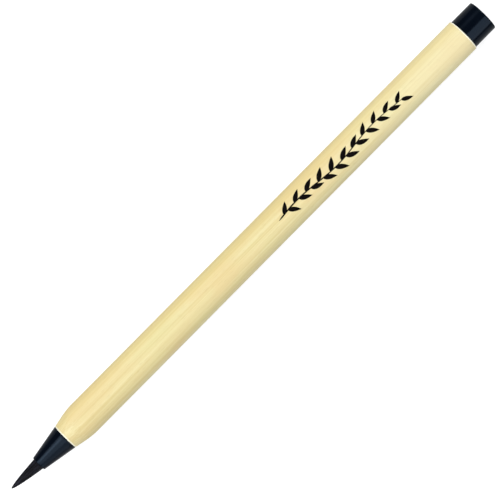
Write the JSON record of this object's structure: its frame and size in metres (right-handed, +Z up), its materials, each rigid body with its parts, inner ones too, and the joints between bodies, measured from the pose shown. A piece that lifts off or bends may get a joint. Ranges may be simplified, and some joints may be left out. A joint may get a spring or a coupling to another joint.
{
  "type": "brush pen",
  "caption": "Slim round brush pen with a pale wooden barrel, a black front cone holding a pointed flexible brush, and a black tail plug; uncapped, lying on its side.",
  "frame": {"origin": "on the surface that the pen lies on, under the middle of its whole length", "axes": "+X along the pen from the brush towards the tail plug, +Z up, +Y across the pen"},
  "size_m": [0.1796, 0.01, 0.01],
  "materials": {
    "pale_wood": "satin, fine straight grain along the barrel",
    "black_gloss": "polished moulded black",
    "bristle": "inked synthetic filaments, slight lengthwise sheen",
    "fused_filament": "melted filament ends",
    "natural_plastic": "milky natural polypropylene",
    "wick_fibre": "bonded fibre rod soaked with ink",
    "ink_fibre": "ink-soaked fibre",
    "clear_film": "thin clear film"
  },
  "bodies": {
    "pen": {"barrel": "pale_wood", "front_cone": "black_gloss", "tail_plug": "black_gloss", "bristle_root": "bristle", "bristle_flange": "fused_filament", "brush_collar": "natural_plastic", "feed_wick": "wick_fibre", "wick_holder": "natural_plastic", "liner_tube": "natural_plastic", "reservoir_fibre": "ink_fibre", "reservoir_film": "clear_film", "liner_stopper": "natural_plastic"},
    "belly": {"bristle_belly": "bristle"},
    "waist": {"bristle_waist": "bristle"},
    "taper": {"bristle_taper": "bristle"},
    "point": {"bristle_point": "bristle"}
  },
  "joints": [
    {"name": "belly_pitch", "type": "hinge", "parent": "pen", "child": "belly", "pos_m": [-0.08196, 0, 0.005], "axis": [0, 1, 0], "range_deg": [-25, 25], "stiffness_Nm_per_rad": 0.0006},
    {"name": "waist_yaw", "type": "hinge", "parent": "belly", "child": "waist", "pos_m": [-0.08376, 0, 0.005], "axis": [0, 0, 1], "range_deg": [-25, 25], "stiffness_Nm_per_rad": 0.0006},
    {"name": "taper_pitch", "type": "hinge", "parent": "waist", "child": "taper", "pos_m": [-0.08606, 0, 0.005], "axis": [0, 1, 0], "range_deg": [-25, 25]},
    {"name": "point_yaw", "type": "hinge", "parent": "taper", "child": "point", "pos_m": [-0.08736, 0, 0.005], "axis": [0, 0, 1], "range_deg": [-25, 25]}
  ],
  "couplings": [
    {"joint": "taper_pitch", "follows": "belly_pitch", "ratio": 1},
    {"joint": "point_yaw", "follows": "waist_yaw", "ratio": 1}
  ]
}
